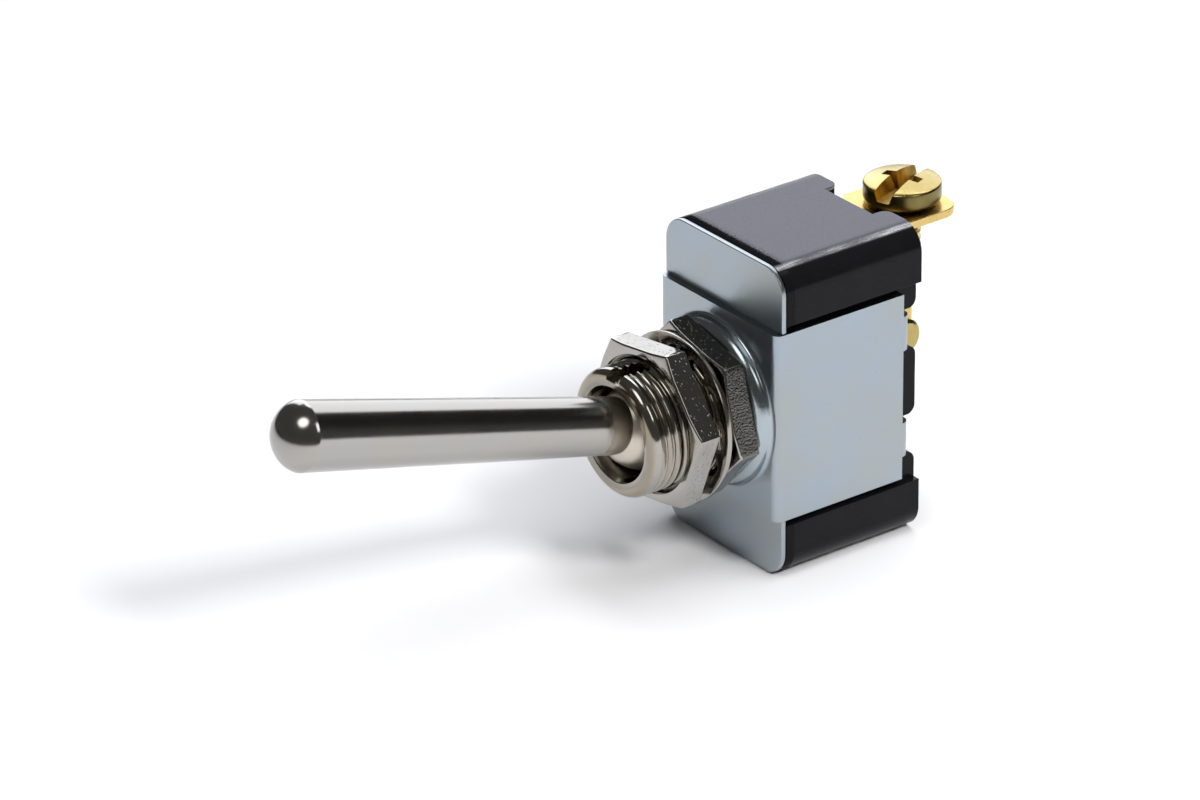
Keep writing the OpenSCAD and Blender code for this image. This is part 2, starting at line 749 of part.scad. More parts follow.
module lock_washer() {
    band_r = washer_r - washer_band;
    root_r = stem_r + tooth_gap;
    color("darkgray") on_stem(washer_at) rotate([-washer_lean, 0, 0]) {
        linear_extrude(washer_t, center = true) difference() {
            circle(washer_r);
            circle(band_r);
        }
        for (i = [0:washer_teeth - 1])
            rotate(i * 360 / washer_teeth) translate([root_r, 0, 0]) rotate([tooth_twist, 0, 0])
                translate([0, -tooth_w / 2, -washer_t / 2])
                    cube([band_r - root_r + eps / 2, tooth_w, washer_t]);
    }
}

yoke();
cover_plate();
insulating_sheet();
case();
stem();
lever();
pivot_pin();
plunger();
plunger_spring();
rocker();
moving_contact();
rocker_saddle();
saddle_rivet();
fixed_contact();
end_terminal();
centre_terminal();
end_screw();
centre_screw();
rear_nut();
lock_washer();
front_nut();
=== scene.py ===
"""Panel toggle switch: the visual model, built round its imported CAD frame."""

import json
import math

import bmesh
import bpy
from bpy.props import FloatProperty, FloatVectorProperty, IntProperty, PointerProperty
from mathutils import Matrix, Vector


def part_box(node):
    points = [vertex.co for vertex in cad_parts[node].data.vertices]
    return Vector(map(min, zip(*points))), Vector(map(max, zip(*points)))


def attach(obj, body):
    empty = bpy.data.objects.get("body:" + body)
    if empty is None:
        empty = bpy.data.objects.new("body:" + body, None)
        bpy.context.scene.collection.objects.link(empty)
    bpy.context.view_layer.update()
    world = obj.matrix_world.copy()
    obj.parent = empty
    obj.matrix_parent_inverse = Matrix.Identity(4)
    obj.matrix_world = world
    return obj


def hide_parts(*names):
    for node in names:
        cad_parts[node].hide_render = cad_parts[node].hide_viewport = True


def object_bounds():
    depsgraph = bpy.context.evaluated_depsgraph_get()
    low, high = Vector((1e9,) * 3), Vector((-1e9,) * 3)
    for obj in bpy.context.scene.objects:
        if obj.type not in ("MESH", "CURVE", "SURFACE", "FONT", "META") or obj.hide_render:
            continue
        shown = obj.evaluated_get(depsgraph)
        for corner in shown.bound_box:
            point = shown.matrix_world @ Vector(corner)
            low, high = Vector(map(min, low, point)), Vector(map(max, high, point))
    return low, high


bl_info = {
    "name": "Panel toggle switch",
    "version": (1, 0, 0),
    "blender": (4, 5, 0),
    "location": "3D View > Sidebar > Switch",
    "description": "Builds a single-pole panel toggle switch round its CAD frame",
    "category": "Add Mesh",
}

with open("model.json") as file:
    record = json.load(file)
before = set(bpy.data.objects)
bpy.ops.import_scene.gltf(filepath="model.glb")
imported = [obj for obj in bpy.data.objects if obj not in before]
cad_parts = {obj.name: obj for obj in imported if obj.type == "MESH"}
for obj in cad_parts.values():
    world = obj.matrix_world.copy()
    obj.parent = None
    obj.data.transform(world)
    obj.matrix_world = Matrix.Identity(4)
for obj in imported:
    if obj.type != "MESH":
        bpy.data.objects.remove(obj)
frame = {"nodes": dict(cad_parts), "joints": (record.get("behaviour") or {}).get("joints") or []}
CAD_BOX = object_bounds()
MM = 0.001
PER_MM = (1 / MM,) * 3
SHARP_FROM = math.radians(35)
# points nearer than this, in millimetres, are made one
WELD = 1e-4
STEM_TURN = Matrix.Rotation(math.radians(90), 4, "X")


def corner(node, high):
    """One corner of a CAD node's box, in millimetres."""
    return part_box(node)[1 if high else 0] / MM


def joint(name):
    """A joint's row in the record."""
    return next(j for j in frame["joints"] if j["name"] == name)


# ---------------------------------------------------------------- sizes that follow the frame

STEM_LEN = -corner("stem", False).y
STEM_FLANGE_BACK = corner("stem", True).y
STEM_FLANGE_R = corner("stem", True).x
CASE_TOP = corner("case", True).z
CASE_FRONT = corner("case", False).y
BOSS_FRONT = corner("yoke", False).y
PIVOT_AHEAD = -joint("lever_swing")["pos_m"][1] / MM
THROW = joint("lever_swing")["range_deg"][1]
LEVER_UP = Matrix.Translation((0, -PIVOT_AHEAD, 0)) @ Matrix.Rotation(
    math.radians(90 - THROW / 2), 4, "X"
)
FLOOR_Z = CAD_BOX[0].z


class SwitchSizes(bpy.types.PropertyGroup):
    """Sizes of the fine shapes, which the CAD leaves to this model."""

    thread_pitch: FloatProperty(
        name="Stem thread pitch", description="Distance between the threads of the stem",
        default=0.79375 * MM, unit="LENGTH",
    )
    thread_depth: FloatProperty(
        name="Stem thread depth", description="Depth of the stem thread from crest to root",
        default=0.32 * MM, unit="LENGTH",
    )
    screw_pitch: FloatProperty(
        name="Screw thread pitch", description="Distance between the threads of a terminal screw",
        default=0.79375 * MM, unit="LENGTH",
    )
    sheet_edge: FloatProperty(
        name="Sheet edge", description="Rounding on the sheared edges of the plated steel",
        default=0.09 * MM, unit="LENGTH",
    )
    case_edge: FloatProperty(
        name="Moulding edge", description="Rounding on the moulded edges of the case",
        default=0.26 * MM, unit="LENGTH",
    )
    nut_edge: FloatProperty(
        name="Nut edge", description="Rounding on the edges of the hex nuts",
        default=0.20 * MM, unit="LENGTH",
    )
    blade_edge: FloatProperty(
        name="Blade edge", description="Rounding on the blanked edges of the terminals",
        default=0.09 * MM, unit="LENGTH",
    )
    tooth_twist: FloatProperty(
        name="Tooth twist", description="Twist of the lock washer's teeth",
        default=math.radians(16), subtype="ANGLE",
    )
    round_steps: IntProperty(
        name="Steps round", description="Steps round a turned piece", default=128, min=24,
    )


class SwitchColours(bpy.types.PropertyGroup):
    """Colours of the finishes, as plain linear values."""

    zinc: FloatVectorProperty(
        name="Zinc plate", description="Bluish plate on the pressed steel",
        subtype="COLOR", default=(0.35, 0.405, 0.46),
    )
    nickel: FloatVectorProperty(
        name="Nickel plate", description="Warm plate on the stem, lever, nuts and washer",
        subtype="COLOR", default=(0.385, 0.378, 0.362),
    )
    brass: FloatVectorProperty(
        name="Brass", description="Bare brass of the terminals and their screws",
        subtype="COLOR", default=(0.67, 0.50, 0.19),
    )
    phenolic: FloatVectorProperty(
        name="Moulded case", description="Black moulded phenolic",
        subtype="COLOR", default=(0.0055, 0.0055, 0.0065),
    )
    floor: FloatVectorProperty(
        name="Floor", description="Pale floor and its low rim",
        subtype="COLOR", default=(0.845, 0.848, 0.876),
    )


def sizes():
    """The sizes in the sidebar."""
    return bpy.context.scene.switch_sizes


def colours():
    """The colours in the sidebar."""
    return bpy.context.scene.switch_colours


# ---------------------------------------------------------------- shader helpers

FLOAT, COLOUR, VECTOR = "NodeSocketFloat", "NodeSocketColor", "NodeSocketVector"


class Tree:
    """Adds nodes to one shader tree; any value may be a constant or another node's output."""

    def __init__(self, tree):
        self.nodes, self.links = tree.nodes, tree.links

    def add(self, kind, inputs=None, **settings):
        """A new node with its settings and its inputs."""
        node = self.nodes.new("ShaderNode" + kind)
        for key, value in settings.items():
            setattr(node, key, value)
        for key, value in (inputs or {}).items():
            self.put(node, key, value)
        return node

    def put(self, node, key, value):
        """Links an input to an output, or sets it to a constant."""
        socket = node.inputs[key]
        if isinstance(value, bpy.types.NodeSocket):
            self.links.new(value, socket)
        else:
            socket.default_value = value

    def coords(self, scale, turn=(0, 0, 0), centre=(0, 0, 0)):
        """Object coordinates, scaled from metres; a stretched scale draws a pattern out."""
        source = self.add("TexCoord").outputs["Object"]
        placed = self.add("VectorMath", {0: source, 1: centre}, operation="SUBTRACT")
        mapping = self.add("Mapping", {
            "Vector": placed.outputs[0], "Rotation": turn, "Scale": scale,
        })
        return mapping.outputs["Vector"]

    def noise(self, vector, scale, detail=2.0, rough=0.5):
        """A noise value from zero to one."""
        return self.add("TexNoise", {
            "Vector": vector, "Scale": scale, "Detail": detail, "Roughness": rough,
        }).outputs["Fac"]

    def span(self, value, low, high, to_low=0.0, to_high=1.0):
        """The value carried from low..high over to to_low..to_high, and held at the ends."""
        return self.add("MapRange", {
            "Value": value, 1: low, 2: high, 3: to_low, 4: to_high,
        }).outputs[0]

    def math(self, operation, a, b=0.0):
        """A maths node on two values."""
        return self.add("Math", {0: a, 1: b}, operation=operation).outputs[0]

    def times(self, a, b):
        """The product of two values."""
        return self.math("MULTIPLY", a, b)

    def plus(self, a, b):
        """The sum of two values."""
        return self.math("ADD", a, b)

    def mix(self, factor, a, b):
        """Colour a where the factor is zero and b where it is one."""
        return self.add("Mix", {0: factor, 6: a, 7: b}, data_type="RGBA").outputs[2]

    def place(self, group, **inputs):
        """Puts a node group into the tree; its inputs take the keywords' values."""
        node = self.add("Group", node_tree=group)
        for key, value in inputs.items():
            self.put(node, key.replace("_", " "), value)
        return node.outputs


def rgba(colour, level=1.0):
    """A node's colour value, at a share of its level."""
    return (*[min(1.0, c * level) for c in colour], 1.0)


def tinted(colour, red, green, blue):
    """A colour with a share of each of its channels."""
    return (colour[0] * red, colour[1] * green, colour[2] * blue)


def new_material(name):
    """An empty material; returns it, its tree and its shader."""
    material = bpy.data.materials.new(name)
    material.use_nodes = True
    t = Tree(material.node_tree)
    return material, t, t.nodes["Principled BSDF"]


def new_group(name, takes, gives):
    """An empty node group with named sockets; returns its tree, input node and output node."""
    group = bpy.data.node_groups.new(name, "ShaderNodeTree")
    for label, kind, value in takes:
        socket = group.interface.new_socket(name=label, in_out="INPUT", socket_type=kind)
        socket.default_value = value
    for label, kind in gives:
        group.interface.new_socket(name=label, in_out="OUTPUT", socket_type=kind)
    return group, group.nodes.new("NodeGroupInput"), group.nodes.new("NodeGroupOutput")


def speck_group():
    """Small scattered pits and specks, as on plated and moulded surfaces."""
    if "scattered_specks" in bpy.data.node_groups:
        return bpy.data.node_groups["scattered_specks"]
    group, took, gave = new_group(
        "scattered_specks",
        [
            ("Vector", VECTOR, (0, 0, 0)), ("Spacing", FLOAT, 1.0), ("Size", FLOAT, 0.1),
            ("Share", FLOAT, 0.3),
        ],
        [("Specks", FLOAT)],
    )
    t = Tree(group)
    given = took.outputs
    cells = t.add("TexVoronoi", {
        "Vector": given["Vector"], "Scale": given["Spacing"],
    }, feature="F1", distance="EUCLIDEAN").outputs
    cone = t.span(cells["Distance"], 0.0, given["Size"], 1.0, 0.0)
    picked = t.add("SeparateColor", {0: cells["Color"]})
    chosen = t.math("LESS_THAN", picked.outputs[0], given["Share"])
    t.put(gave, "Specks", t.times(cone, chosen))
    return group


def cloud_group():
    """Slow change of tint and gloss over a surface, with a finer grain on top."""
    if "slow_change" in bpy.data.node_groups:
        return bpy.data.node_groups["slow_change"]
    group, took, gave = new_group(
        "slow_change",
        [
            ("Vector", VECTOR, (0, 0, 0)), ("Colour", COLOUR, (1, 1, 1, 1)),
            ("Tint", COLOUR, (1, 1, 1, 1)), ("Gloss low", FLOAT, 0.2), ("Gloss high", FLOAT, 0.3),
            ("Patch", FLOAT, 0.3), ("Grain", FLOAT, 6.0),
        ],
        [("Colour", COLOUR), ("Roughness", FLOAT), ("Grain", FLOAT)],
    )
    t = Tree(group)
    given = took.outputs
    patch = t.noise(given["Vector"], given["Patch"], 3.0, 0.55)
    grain = t.noise(given["Vector"], given["Grain"], 2.0, 0.6)
    share = t.span(patch, 0.32, 0.68)
    t.put(gave, "Colour", t.mix(share, given["Colour"], given["Tint"]))
    both = t.plus(t.times(share, 0.65), t.times(grain, 0.35))
    t.put(gave, "Roughness", t.span(both, 0.0, 1.0, given["Gloss low"], given["Gloss high"]))
    t.put(gave, "Grain", grain)
    return group


def zone_group():
    """A zone round the middle with a ragged edge: one at Near and nothing at Far."""
    if "ragged_zone" in bpy.data.node_groups:
        return bpy.data.node_groups["ragged_zone"]
    group, took, gave = new_group(
        "ragged_zone",
        [("Vector", VECTOR, (0, 0, 0)), ("Near", FLOAT, 1.0), ("Far", FLOAT, 2.0)],
        [("Inside", FLOAT)],
    )
    t = Tree(group)
    given = took.outputs
    reach = t.add("VectorMath", {0: given["Vector"]}, operation="LENGTH").outputs["Value"]
    ragged = t.noise(given["Vector"], 1.7, 3.0, 0.6)
    moved = t.plus(reach, t.span(ragged, 0.0, 1.0, -0.08, 0.08))
    t.put(gave, "Inside", t.span(moved, given["Near"], given["Far"], 1.0, 0.0))
    return group


def metal(
    name, colour, tint, gloss, patch, grain, bump,
    specks=None, drawn=None, coords=((0, 0, 0), (0, 0, 0)), zones=(), stain=0.55,
):
    """A plated or bare metal: slow change, grain, specks and, where it is drawn, fine lines.

    gloss is the least and most roughness. patch and grain are the scales of the slow change
    and of the grain, and bump is the grain's height. specks is (spacing, size, share, depth),
    and stain is how much they darken. drawn is (scale along each axis, depth) of the lines,
    and coords is their (turn, centre). Each zone is (axes, centre, near, far, colour,
    roughness): another colour and roughness inside a distance from a line or point, or
    outside it where near is the larger. In some finishes a zone's colour is painted shade,
    a painted reflection or a painted highlight.
    """
    if name in bpy.data.materials:
        return bpy.data.materials[name]
    material, t, shader = new_material(name)
    shader.inputs["Metallic"].default_value = 1.0
    where = t.coords(PER_MM)
    change = t.place(
        cloud_group(), Vector=where, Colour=rgba(colour), Tint=rgba(tint),
        Gloss_low=gloss[0], Gloss_high=gloss[1], Patch=patch, Grain=grain,
    )
    base, rough = change["Colour"], change["Roughness"]
    height = t.times(change["Grain"], bump)
    if specks:
        spacing, size, share, depth = specks
        dots = t.place(
            speck_group(), Vector=where, Spacing=spacing, Size=size, Share=share,
        )["Specks"]
        base = t.mix(t.times(dots, stain), base, rgba(colour, 0.35))
        height = t.math("SUBTRACT", height, t.times(dots, depth))
    if drawn:
        scale, depth = drawn
        lines = t.noise(t.coords(tuple(s / MM for s in scale), *coords), 1.0, 3.0, 0.6)
        height = t.plus(height, t.times(lines, depth))
        rough = t.plus(rough, t.times(t.math("SUBTRACT", lines, 0.5), gloss[0] * 0.8))
    for axes, centre, near, far, zone_colour, zone_rough in zones:
        inside = t.place(
            zone_group(), Vector=t.coords(tuple(a / MM for a in axes), centre=centre),
            Near=near, Far=far,
        )["Inside"]
        base = t.mix(inside, base, rgba(zone_colour))
        rough = t.span(inside, 0.0, 1.0, rough, zone_rough)
    raised = t.add("Bump", {"Height": height, "Strength": 1.0, "Distance": MM})
    t.put(shader, "Base Color", base)
    t.put(shader, "Roughness", rough)
    t.put(shader, "Normal", raised.outputs[0])
    return material


def zinc_plate():
    """Bluish plate with a slow drift of tint, smoother round the drawn boss, and painted lighter
    there as a painted highlight.
    """
    c = colours().zinc
    boss = (0, BOSS_FRONT * MM, 0)
    return metal(
        "zinc_plate", c, tinted(c, 1.10, 1.02, 0.90), (0.26, 0.38),
        patch=0.19, grain=7.0, bump=0.003, specks=(1.1, 0.09, 0.35, 0.010),
        # round the boss the plate is smoother, and painted lighter as a painted highlight
        zones=[((1, 4, 1), boss, 9.3, 9.9, tinted(c, 1.12, 1.1, 1.04), 0.20)],
    )


def lever_nickel():
    """Polished shank and tip; the ball and the foot of the shank are left as turned, rougher, and
    painted lighter and warmer as a painted reflection of the stem's mouth.
    """
    c = colours().nickel
    turn = (-math.radians(90 - THROW / 2), 0, 0)
    pivot = (0, -PIVOT_AHEAD * MM, 0)
    return metal(
        "polished_nickel", c, tinted(c, 1.03, 1.0, 0.96), (0.14, 0.19),
        patch=0.25, grain=8.0, bump=0.0022, specks=(1.3, 0.05, 0.3, 0.006),
        drawn=((9.0, 9.0, 0.30), 0.0016), coords=(turn, pivot),
        # the ball and the foot of the shank are rougher and painted lighter and warmer: a painted
        # reflection of the stem's mouth
        zones=[((1, 1, 1), pivot, 5.5, 6.5, (0.60, 0.55, 0.47), 0.36)],
    )


def stem_nickel():
    """Turned stem; the roots of its thread are painted dark brown, as painted shade and grime."""
    c = colours().nickel
    return metal(
        "turned_nickel", c, tinted(c, 0.98, 0.94, 0.85), (0.08, 0.15),
        patch=0.35, grain=8.0, bump=0.0012, specks=(2.2, 0.16, 0.3, 0.012),
        drawn=((0.4, 14.0, 0.4), 0.0012),
        # the roots of the thread are painted dark brown: painted shade, with some grime
        zones=[((1, 0, 1), (0, 0, 0), 5.66, 5.94, (0.34, 0.295, 0.23), 0.17)],
    )


def shaded_mouth_nickel():
    """Painted shade: the plate in the bore and the mouth of the stem is painted darker and warmer.
    """
    c = colours().nickel
    return metal(
        "shaded_mouth_nickel", tinted(c, 0.90, 0.86, 0.78), tinted(c, 0.74, 0.68, 0.58), (0.08, 0.16),
        patch=0.4, grain=7.0, bump=0.003, specks=(2.0, 0.10, 0.3, 0.008),
        drawn=((0.4, 9.0, 0.4), 0.003),
    )


def nut_nickel():
    """The nuts' turned faces and crowns."""
    c = colours().nickel
    return metal(
        "nut_nickel", c, tinted(c, 1.0, 0.96, 0.90), (0.08, 0.15),
        patch=0.3, grain=8.0, bump=0.0012, specks=(1.8, 0.14, 0.3, 0.010), stain=0.3,
    )


def flat_nickel():
    """The nuts' flats: a mirror with pinhead specks."""
    c = colours().nickel
    return metal(
        "nut_flat_nickel", c, tinted(c, 0.9, 0.88, 0.84), (0.05, 0.10),
        patch=0.5, grain=7.0, bump=0.0008, specks=(3.0, 0.24, 0.85, 0.05), stain=0.0,
    )


def sandy_nickel():
    """Nickel over a flat's pitted, sandy skin."""
    c = colours().nickel
    return metal(
        "sandy_nickel", tinted(c, 0.48, 0.48, 0.47), tinted(c, 0.38, 0.37, 0.35), (0.08, 0.14),
        patch=0.5, grain=5.0, bump=0.05, specks=(4.0, 0.35, 0.8, 0.045), stain=0.0,
    )


def washer_nickel():
    """Warmer, duller plate on the lock washer."""
    c = colours().nickel
    return metal(
        "washer_nickel", c, tinted(c, 1.04, 0.94, 0.80), (0.14, 0.24),
        patch=0.4, grain=8.0, bump=0.005, specks=(2.6, 0.08, 0.3, 0.006),
    )


def screw_brass():
    """The crown and the shank of the terminal screws."""
    return metal(
        "screw_brass_finish", (0.48, 0.385, 0.155), (0.42, 0.325, 0.105), (0.20, 0.32),
        patch=0.5, grain=6.0, bump=0.006, specks=(2.4, 0.08, 0.25, 0.008),
    )


def dull_shaded_brass():
    """The side of the screw heads, rougher and painted darker as painted shade."""
    return metal(
        "dull_shaded_brass", (0.23, 0.185, 0.07), (0.165, 0.13, 0.042), (0.26, 0.40),
        patch=0.5, grain=6.0, bump=0.006, specks=(2.4, 0.10, 0.3, 0.008),
    )


def shaded_recess_brass():
    """Brass inside the driven recess, painted brown and darker as painted shade."""
    return metal(
        "shaded_recess_brass", (0.52, 0.34, 0.07), (0.34, 0.20, 0.03), (0.24, 0.42),
        patch=0.9, grain=6.0, bump=0.012,
    )


def blade_brass():
    """Rolled brass strip of the terminals."""
    c = colours().brass
    return metal(
        "blade_brass", c, tinted(c, 0.96, 0.92, 0.84), (0.20, 0.32),
        patch=0.3, grain=9.0, bump=0.003, specks=(2.0, 0.07, 0.3, 0.008),
        drawn=((0.25, 6.0, 0.25), 0.003),
    )


def phenolic():
    """Black moulding: glossy, with a fine grain and specks, a painted sheen on the top and a
    painted highlight along the upper edges.
    """
    if "moulded_phenolic" in bpy.data.materials:
        return bpy.data.materials["moulded_phenolic"]
    c = colours().phenolic
    material, t, shader = new_material("moulded_phenolic")
    shader.inputs["IOR"].default_value = 1.21
    where = t.coords(PER_MM)
    change = t.place(
        cloud_group(), Vector=where, Colour=rgba(c), Tint=rgba(tinted(c, 1.25, 1.2, 1.25)),
        Gloss_low=0.13, Gloss_high=0.22, Patch=0.35, Grain=7.0,
    )
    dots = t.place(speck_group(), Vector=where, Spacing=2.4, Size=0.16, Share=0.3)["Specks"]
    base = t.mix(t.times(dots, 0.25), change["Colour"], rgba((0.075, 0.072, 0.08)))
    place = t.add("SeparateXYZ", {0: where}).outputs
    back, level = place["Y"], place["Z"]
    fine = t.span(t.noise(where, 9.0, 3.0, 0.65), 0.30, 0.70)

    # a painted sheen lightens the top, and stops with a ragged edge short of the front
    top_sheen = t.times(
        t.span(level, CASE_TOP - 0.12, CASE_TOP - 0.01), t.plus(0.72, t.times(fine, 0.28)),
    )
    top_sheen = t.times(top_sheen, t.span(t.plus(back, fine), CASE_FRONT + 1.3, CASE_FRONT + 1.9))
    base = t.mix(top_sheen, base, rgba((0.112, 0.110, 0.142)))

    # a painted highlight: a broken pale streak just below the top, along the rounded upper edges
    edge_highlight = t.times(
        t.span(level, CASE_TOP - 0.34, CASE_TOP - 0.24),
        t.span(level, CASE_TOP - 0.05, CASE_TOP - 0.12),
    )
    streaks = t.noise(t.coords((9 / MM, 0.5 / MM, 9 / MM)), 1.0, 3.0, 0.6)
    edge_highlight = t.times(edge_highlight, t.span(streaks, 0.25, 0.60))
    edge_highlight = t.times(edge_highlight, t.span(t.noise(where, 0.16, 2.0), 0.36, 0.58, 0.25, 1.0))
    base = t.mix(t.times(edge_highlight, t.plus(fine, 0.35)), base, rgba((0.44, 0.44, 0.48)))

    # grain and specks stand out, and the front edge is shaded as if it sloped down
    height = t.plus(t.times(change["Grain"], 0.005), t.times(dots, 0.006))
    height = t.plus(height, t.span(back, CASE_FRONT, CASE_FRONT + 0.9, -0.45, 0.0))
    raised = t.add("Bump", {"Height": height, "Strength": 1.0, "Distance": MM})
    t.put(shader, "Base Color", base)
    t.put(shader, "Roughness", change["Roughness"])
    t.put(shader, "Normal", raised.outputs[0])
    return material


def fibre():
    """Brown vulcanised fibre sheet with long pressed fibres."""
    if "fibre_sheet_finish" in bpy.data.materials:
        return bpy.data.materials["fibre_sheet_finish"]
    material, t, shader = new_material("fibre_sheet_finish")
    long = t.noise(t.coords((5 / MM, 5 / MM, 0.6 / MM)), 1.0, 4.0, 0.65)
    cross = t.noise(t.coords((0.7 / MM, 5 / MM, 4 / MM)), 1.0, 3.0, 0.6)
    both = t.times(t.plus(long, cross), 0.5)
    t.put(shader, "Base Color", t.mix(
        t.span(both, 0.35, 0.65), rgba((0.24, 0.15, 0.085)), rgba((0.42, 0.29, 0.17)),
    ))
    t.put(shader, "Roughness", t.span(both, 0.3, 0.7, 0.5, 0.75))
    raised = t.add("Bump", {"Height": both, "Strength": 0.6, "Distance": 0.04 * MM})
    t.put(shader, "Normal", raised.outputs[0])
    return material


# ---------------------------------------------------------------- mesh helpers, in millimetres

def lathe(profile, steps):
    """Turns a profile of (radius, height) points round the Z axis into one skin."""
    bm = bmesh.new()
    verts = [bm.verts.new((r, 0, z)) for r, z in profile]
    edges = [bm.edges.new(pair) for pair in zip(verts, verts[1:])]
    bmesh.ops.spin(
        bm, geom=verts + edges, cent=(0, 0, 0), axis=(0, 0, 1), dvec=(0, 0, 0),
        angle=2 * math.pi, steps=steps, use_merge=True, use_duplicate=False,
    )
    bmesh.ops.remove_doubles(bm, verts=bm.verts, dist=1e-5)
    bmesh.ops.recalc_face_normals(bm, faces=bm.faces)
    return bm


def arc(centre, radius, start, end, steps):
    """Profile points on an arc; the angles are in degrees from the radius axis."""
    span = [math.radians(start + (end - start) * k / steps) for k in range(steps + 1)]
    return [(centre[0] + radius * math.cos(a), centre[1] + radius * math.sin(a)) for a in span]


def only(geom, kind):
    """The elements of one kind in the geometry that an operation gives back."""
    return [g for g in geom if isinstance(g, kind)]


# half a thread, from crest to root: (share of the pitch, share of the depth)
THREAD_SHAPE = ((0.0, 0.0), (0.06, 0.0), (0.11, 0.26), (0.19, 0.62), (0.32, 0.90), (0.5, 1.0))


def threaded(crest, depth, pitch, z0, z1, steps, fade):
    """The open skin of a screw thread between two heights.

    fade is the length of the run-out at its foot and at its front.
    """
    half = [p for p, _ in THREAD_SHAPE]
    shares = half + [1 - p for p in half[-2::-1]]
    bm = bmesh.new()
    turns = math.ceil((z1 - z0) / pitch) + 2
    start = z0 - pitch
    verts = [bm.verts.new((crest, 0, start + pitch * p)) for p in shares]
    edges = [bm.edges.new(pair) for pair in zip(verts, verts[1:])]
    bmesh.ops.spin(
        bm, geom=verts + edges, cent=(0, 0, 0), axis=(0, 0, 1), dvec=(0, 0, pitch / steps),
        angle=2 * math.pi * turns, steps=steps * turns, use_merge=False, use_duplicate=False,
    )
    bmesh.ops.remove_doubles(bm, verts=bm.verts, dist=WELD)
    for height, way in ((z0, -1), (z1, 1)):
        bmesh.ops.bisect_plane(
            bm, geom=bm.verts[:] + bm.edges[:] + bm.faces[:], dist=1e-5,
            plane_co=(0, 0, height), plane_no=(0, 0, way), clear_outer=True,
        )
    for v in bm.verts:
        angle = math.atan2(v.co.y, v.co.x)
        phase = ((v.co.z - start) / pitch - angle / (2 * math.pi)) % 1.0
        phase = min(phase, 1.0 - phase)
        groove = 1.0
        for (p0, g0), (p1, g1) in zip(THREAD_SHAPE, THREAD_SHAPE[1:]):
            if phase <= p1:
                groove = g0 + (g1 - g0) * (phase - p0) / (p1 - p0)
                break
        ends = min(1.0, max(0.0, (v.co.z - z0) / fade[0]), max(0.0, (z1 - v.co.z) / fade[1]))
        level = crest - depth * groove * ends
        v.co.xy = Vector((math.cos(angle), math.sin(angle))) * level
    return bm


def end_loop(bm, height):
    """The open edges at one height."""
    return [
        e for e in bm.edges
        if e.is_boundary and all(abs(v.co.z - height) < 1e-3 for v in e.verts)
    ]


def carry(bm, edges, profile):
    """Draws an open round loop on through (radius, height) points; returns the last loop."""
    for radius, height in profile:
        grown = bmesh.ops.extrude_edge_only(bm, edges=edges)["geom"]
        edges = only(grown, bmesh.types.BMEdge)
        for v in {v for e in edges for v in e.verts}:
            flat = Vector((v.co.x, v.co.y, 0)).normalized() * radius
            v.co = (flat.x, flat.y, height)
    return edges


def loop_ring(count, levels):
    """A closed ring whose section goes through levels; each gives (radius, height) at an angle."""
    bm = bmesh.new()
    bmesh.ops.create_circle(bm, cap_ends=False, radius=1.0, segments=count)
    edges = bm.edges[:]

    def shape(verts, level):
        for v in verts:
            angle = math.atan2(v.co.y, v.co.x)
            radius, height = level(angle)
            v.co = (math.cos(angle) * radius, math.sin(angle) * radius, height)

    shape(bm.verts[:], levels[0])
    for level in levels[1:] + levels[:1]:
        grown = bmesh.ops.extrude_edge_only(bm, edges=edges)["geom"]
        edges = only(grown, bmesh.types.BMEdge)
        shape({v for e in edges for v in e.verts}, level)
    bmesh.ops.remove_doubles(bm, verts=bm.verts, dist=WELD)
    bmesh.ops.recalc_face_normals(bm, faces=bm.faces)
    return bm


def soften(bm, width, angle=50):
    """Rounds the edges that are sharper than the angle."""
    least = math.radians(angle)
    sharp = [e for e in bm.edges if len(e.link_faces) == 2 and e.calc_face_angle(0) > least]
    bmesh.ops.bevel(
        bm, geom=sharp, offset=width, offset_type="OFFSET", affect="EDGES",
        segments=2, profile=0.5, material=-1, clamp_overlap=True,
    )


def box_cutter(low, high, taper=(1.0, 1.0)):
    """A block between two corners; its foot is narrowed by taper across and along."""
    bm = bmesh.new()
    bmesh.ops.create_cube(bm, size=1.0)
    low, high = Vector(low), Vector(high)
    for v in bm.verts:
        across, along = taper if v.co.z < 0 else (1.0, 1.0)
        v.co = (low + high) / 2 + Vector((
            v.co.x * (high.x - low.x) * across,
            v.co.y * (high.y - low.y) * along,
            v.co.z * (high.z - low.z),
        ))
    return bm


def scratch_object(bm, name):
    """A short-lived object that takes a shape over."""
    mesh = bpy.data.meshes.new(name)
    bm.to_mesh(mesh)
    bm.free()
    made = bpy.data.objects.new(name, mesh)
    bpy.context.scene.collection.objects.link(made)
    return made


def cut(bm, cutters):
    """Takes each cutter out of the shape and returns the shape."""
    body = scratch_object(bm, "scratch_body")
    tools = [scratch_object(c, "scratch_cutter") for c in cutters]
    for tool in tools:
        step = body.modifiers.new("cut", "BOOLEAN")
        step.operation, step.object, step.solver = "DIFFERENCE", tool, "EXACT"
    bpy.context.view_layer.update()
    done = bmesh.new()
    evaluated = body.evaluated_get(bpy.context.evaluated_depsgraph_get())
    done.from_mesh(evaluated.to_mesh())
    evaluated.to_mesh_clear()
    for thing in [body, *tools]:
        mesh = thing.data
        bpy.data.objects.remove(thing)
        bpy.data.meshes.remove(mesh)
    return done


def cad_copy(node):
    """A CAD node's shape in millimetres, its points merged and its flat faces made whole."""
    bm = bmesh.new()
    bm.from_mesh(frame["nodes"][node].data)
    bmesh.ops.scale(bm, vec=PER_MM, verts=bm.verts)
    bmesh.ops.remove_doubles(bm, verts=bm.verts, dist=WELD)
    bmesh.ops.dissolve_limit(
        bm, angle_limit=math.radians(0.4), verts=bm.verts, edges=bm.edges,
        use_dissolve_boundaries=False,
    )
    return bm


